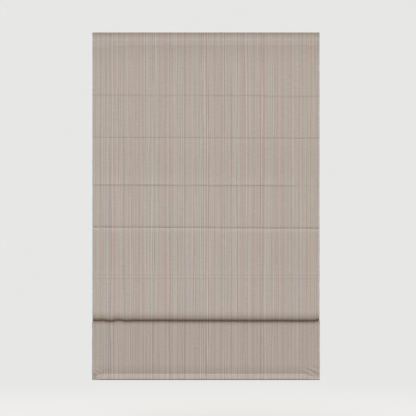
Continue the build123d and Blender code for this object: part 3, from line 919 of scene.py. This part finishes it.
# %% [markdown]
# Thread shows as a row of short stitches lying in each sewn line. A bump pattern could draw them, but it
# would vanish at a slant. One stitch is a stretched ball with few faces, and it is copied along the line at a
# steady pitch, following the cloth's surface underneath.

# %% Stitches
stitch_pitch = 4.6 * MM
stitch_length = 3.3 * MM
thread_radius = 0.24 * MM
stitch_sides, stitch_rings = 6, 4


def one_stitch():
    ball = bmesh.new()
    bmesh.ops.create_uvsphere(ball, u_segments=stitch_sides, v_segments=stitch_rings, radius=thread_radius)
    bmesh.ops.scale(ball, vec=Vector((stitch_length / (2 * thread_radius), 1, 1)), verts=ball.verts)
    made = bpy.data.meshes.new("one_stitch")
    ball.to_mesh(made)
    ball.free()
    return made


def stitch_row(name, surface, body, reach):
    """A row of stitches along a line, where surface(x) gives its y and z."""
    row = bmesh.new()
    stitch = one_stitch()
    count = int(2 * reach / stitch_pitch)
    last = Vector((0, 0, 0))
    for step in range(count):
        x = -reach + stitch_pitch * (step + 0.5)
        here = Vector((x, *surface(x)))
        stitch.transform(Matrix.Translation(here - last))
        row.from_mesh(stitch)
        last = here
    bpy.data.meshes.remove(stitch)
    piece = make_piece(name, row)
    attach(piece, body)
    print(name, count, "stitches")
    return piece


# %% [markdown]
# The blind is sewn along its tapes, its rod pockets and its bar hem, and from behind the stitches show on
# each flange and on the turned-up edge of the hem. A row on the face asks the cloth's own shape where it
# lies, so it dips and waves with the cloth. A row behind lies on flat tape or hem and is level.

# %% Stitch rows
face_gap = cloth_thickness / 2 + 0.05 * MM
flange_gap = 0.05 * MM
row_reach = half_width - 14 * MM
flange_end = 6 * MM
hem_back_drop = 1.5 * MM


def on_hanging(height):
    def surface(x):
        y, z = hang(x, front_y, height)
        return y - face_gap, z
    return surface


def on_hem(x):
    y, z = bottom_hang(x, valley_y, hem_stitch_z)
    return y - face_gap, z


def level(y, z):
    return lambda x: (y, z)


stitch_rows = [
    stitch_row("tape_stitches_top", on_hanging(tape_rows[0]), "head", row_reach),
    stitch_row("tape_stitches_foot", on_hanging(tape_rows[1]), "head", row_reach),
    stitch_row("pocket_stitches_1", on_hanging(stitch_z[0]), "upper_rod", row_reach),
    stitch_row("pocket_stitches_2", on_hanging(stitch_z[1]), "middle_rod", row_reach),
    stitch_row("hem_stitches", on_hem, "bottom", row_reach),
    stitch_row("hem_stitches_back", level(hem_end_y + face_gap, hem_stitch_z - hem_back_drop),
               "bottom", row_reach),
]
for number, body in rod_bodies.items():
    low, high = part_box(f"rod_pocket_{number}")
    flange_row = level(low.y + 2 * tape_thickness + flange_gap, stitch_z[number - 1])
    stitch_rows.append(stitch_row(f"flange_stitches_{number}", flange_row, body, high.x - flange_end))

# %% [markdown]
# Sewing thread is twisted, so it catches the light in short streaks. Modelled strands would be lost at this
# size, so a fine noise, drawn out across the thread, changes its tone, its roughness and its bump together.

# %% Thread finish
thread_dark, thread_pale = (0.34, 0.28, 0.24, 1), (0.43, 0.37, 0.32, 1)
twist_scale = (1800, 600, 1800)
twist_share, twist_rough = (0.3, 0.7, 0.0, 1.0), (0.3, 0.7, 0.72, 0.56)
twist_bump, twist_depth = 0.4, 0.1 * MM
thread, tree, shader = start_finish("sewing_thread")
here = add(tree, "ShaderNodeTexCoord").outputs["Object"]
twist = speckle(tree, here, twist_scale, 1.0)
thread_tone = blend_colours(tree, ramp(tree, twist, *twist_share), thread_dark, thread_pale)
tree.links.new(thread_tone, shader.inputs["Base Color"])
tree.links.new(ramp(tree, twist, *twist_rough), shader.inputs["Roughness"])
add_bump(tree, shader, twist, twist_bump, twist_depth)
for piece in stitch_rows:
    piece.data.materials.append(thread)
print("thread on", len(stitch_rows), "rows")

# %% [markdown]
# The rest is hardware, and its solids are already right, so each keeps its shape and gets a finish. Powder
# coat has a fine orange-peel, moulded plastic a soft grain, zinc and spring steel a brushed streak. One
# function makes them all: a grain that is even or drawn out along the piece, and a broad change of tone that
# keeps large faces from looking flat.

# %% Hardware finishes
grain_tone = 0.05
hardware_broad = (14, 14, 14)
hardware_bump_depth = 0.08 * MM
# Each finish: its name, colour, share of metal, least and most roughness, grain and strength of bump
hardware = {
    "rail_paint": ("rail_powder_coat", (0.74, 0.73, 0.70), 0.0, (0.36, 0.48), (700, 700, 700), 0.18),
    "cap_plastic": ("cap_moulding", (0.72, 0.71, 0.68), 0.0, (0.42, 0.56), (500, 500, 500), 0.15),
    "bracket_steel": ("bracket_zinc", (0.60, 0.60, 0.61), 1.0, (0.30, 0.46), (60, 900, 900), 0.20),
    "mechanism_plastic": ("mechanism_moulding", (0.74, 0.74, 0.72), 0.0, (0.38, 0.52), (600, 600, 600), 0.12),
    "housing_plastic": ("housing_moulding", (0.16, 0.165, 0.17), 0.0, (0.46, 0.60), (650, 650, 650), 0.25),
    "bright_steel": ("bright_steel_drawn", (0.56, 0.56, 0.58), 1.0, (0.22, 0.36), (40, 1200, 1200), 0.15),
    "tip_plastic": ("tip_moulding", (0.70, 0.69, 0.66), 0.0, (0.42, 0.54), (700, 700, 700), 0.12),
    "guide_plastic": ("guide_moulding", (0.72, 0.73, 0.72), 0.0, (0.26, 0.38), (700, 700, 700), 0.10),
    "rod_fibreglass": ("rod_pultrusion", (0.68, 0.68, 0.63), 0.0, (0.40, 0.58), (30, 1500, 1500), 0.22),
    "bar_paint": ("bar_enamel", (0.66, 0.66, 0.65), 0.0, (0.34, 0.46), (500, 500, 500), 0.12),
}


def make_hardware(name, colour, metallic, rough, grain, bump):
    material, tree, shader = start_finish(name)
    here = add(tree, "ShaderNodeTexCoord").outputs["Object"]
    fine = speckle(tree, here, grain)
    broad = speckle(tree, here, hardware_broad)
    grain_light = ramp(tree, fine, 0.3, 0.7, 1 - grain_tone, 1 + grain_tone)
    light = sums(tree, "MULTIPLY", grain_light, ramp(tree, broad, *broad_light))
    tree.links.new(lit(tree, (*colour, 1), light), shader.inputs["Base Color"])
    tree.links.new(ramp(tree, fine, 0.3, 0.7, *rough), shader.inputs["Roughness"])
    shader.inputs["Metallic"].default_value = metallic
    add_bump(tree, shader, fine, bump, hardware_bump_depth)
    return material


finishes = {slot: make_hardware(*finish) for slot, finish in hardware.items()}
for row in frame["record"]["subparts"]:
    if row["material_slot"] in finishes:
        piece = nodes[row["node"]]
        piece.data.materials.clear()
        piece.data.materials.append(finishes[row["material_slot"]])
print("hardware finishes", len(finishes))

# %% [markdown]
# The stage is a pale floor that fades into the background, so no horizon crosses the picture. A curved
# backdrop would do the same, but it would shade the back of the blind. What the camera sees is one pale tone,
# and the light that the floor sends back is weaker and warmer.

# %% Floor
backdrop = (0.80, 0.80, 0.79, 1)
floor_radius, floor_sides, floor_drop = 7.0, 96, 0.35
floor_bounce, floor_rough = (0.30, 0.25, 0.20, 1), 0.9
fade_from, fade_to = 1.2, 4.5


def picture_ray(tree):
    """1 for rays that the camera, a glossy face or a clear one sends, and 0 for those that carry light."""
    path = add(tree, "ShaderNodeLightPath")
    mirrored = sums(tree, "MAXIMUM", path.outputs["Is Glossy Ray"], path.outputs["Is Transmission Ray"])
    return sums(tree, "MAXIMUM", path.outputs["Is Camera Ray"], mirrored)


def show_mix(tree, output, share, first, second):
    """Makes a mix of two shaders the one that shows."""
    mix = add(tree, "ShaderNodeMixShader")
    for source, socket in zip((share, first.outputs[0], second.outputs[0]), mix.inputs):
        tree.links.new(source, socket)
    tree.links.new(mix.outputs[0], tree.nodes[output].inputs["Surface"])


disc = bmesh.new()
bmesh.ops.create_circle(disc, cap_ends=True, radius=floor_radius, segments=floor_sides)
bmesh.ops.translate(disc, vec=Vector((0, 0, cloth_foot - floor_drop)), verts=disc.verts)
floor = make_piece("studio_floor", disc, smooth=False)
floor_finish, tree, shader = start_finish("floor_paper")
here = add(tree, "ShaderNodeTexCoord").outputs["Object"]
away = add(tree, "ShaderNodeVectorMath", operation="LENGTH")
tree.links.new(stretched(tree, here, (1, 1, 0)), away.inputs[0])
shown_share = picture_ray(tree)
tree.links.new(blend_colours(tree, shown_share, floor_bounce, backdrop), shader.inputs["Base Color"])
shader.inputs["Roughness"].default_value = floor_rough
glow = add(tree, "ShaderNodeEmission", Color=backdrop)
far = ramp(tree, away.outputs["Value"], fade_from, fade_to, 0.0, 1.0)
show_mix(tree, "Material Output", sums(tree, "MULTIPLY", far, shown_share), shader, glow)
floor.data.materials.append(floor_finish)
print("floor", round(cloth_foot - floor_drop, 3))

# %% [markdown]
# The world shows that same pale tone to the camera and gives a softer, weaker and warmer light to everything
# else, so that shade in the folds turns brown as it does in the photograph.

# %% World
ambient_tint, ambient_strength = (1.0, 0.74, 0.50, 1), 0.34
world = bpy.data.worlds.new("studio")
bpy.context.scene.world = world
world.use_nodes = True
tree = world.node_tree
ambient = tree.nodes["Background"]
ambient.inputs["Color"].default_value = ambient_tint
ambient.inputs["Strength"].default_value = ambient_strength
shown = add(tree, "ShaderNodeBackground", Color=backdrop)
show_mix(tree, "World Output", picture_ray(tree), ambient, shown)
print("ambient light", ambient_strength)

# %% [markdown]
# One wide soft lamp high in front gives the light its direction: creases go dark below and stitch valleys
# go bright below. An area lamp would fade from top to bottom of so long a blind, while a sun lamp is even,
# and a wide angle softens its shadows. A weaker and wider one serves the back.

# %% Lamps
lamp_distance = 6


def soft_sun(name, height, side, spread, strength, tint):
    lamp = bpy.data.objects.new(name, bpy.data.lights.new(name, "SUN"))
    lamp.data.angle = radians(spread)
    lamp.data.energy = strength
    lamp.data.color = tint
    rise, turn = radians(height), radians(side)
    place = Vector((sin(turn) * cos(rise), -cos(turn) * cos(rise), sin(rise)))
    lamp.location = place * lamp_distance
    lamp.rotation_euler = (-place).to_track_quat("-Z", "Y").to_euler()
    bpy.context.scene.collection.objects.link(lamp)
    print(name, "strength", strength)


soft_sun("front_light", height=41, side=-5, spread=36, strength=2.84, tint=(0.925, 1.022, 1.116))
soft_sun("rear_light", height=8, side=160, spread=110, strength=2.1, tint=(0.95, 1.0, 1.06))

# %% [markdown]
# The picture is square on with no convergence. A camera without perspective would give that too, but a long
# lens from far away looks more natural at the edges. Its aim is a little right of the blind's middle and
# about half way down, as in the photograph.

# %% Camera
frame_width = 1.6744
aim_x, aim_z = 0.0082, -0.7066
camera = bpy.data.objects.new("camera", bpy.data.cameras.new("camera"))
camera.data.lens = 200
camera.data.sensor_width = 36
camera.data.clip_end = 60
distance = frame_width / 2 / (camera.data.sensor_width / 2 / camera.data.lens)
camera.location = (aim_x, front_y - distance, aim_z)
camera.rotation_euler = (radians(90), 0, 0)
bpy.context.scene.collection.objects.link(camera)
bpy.context.scene.camera = camera
bpy.context.scene.view_settings.view_transform = "Standard"
print("camera", round(distance, 3), "m from the cloth")
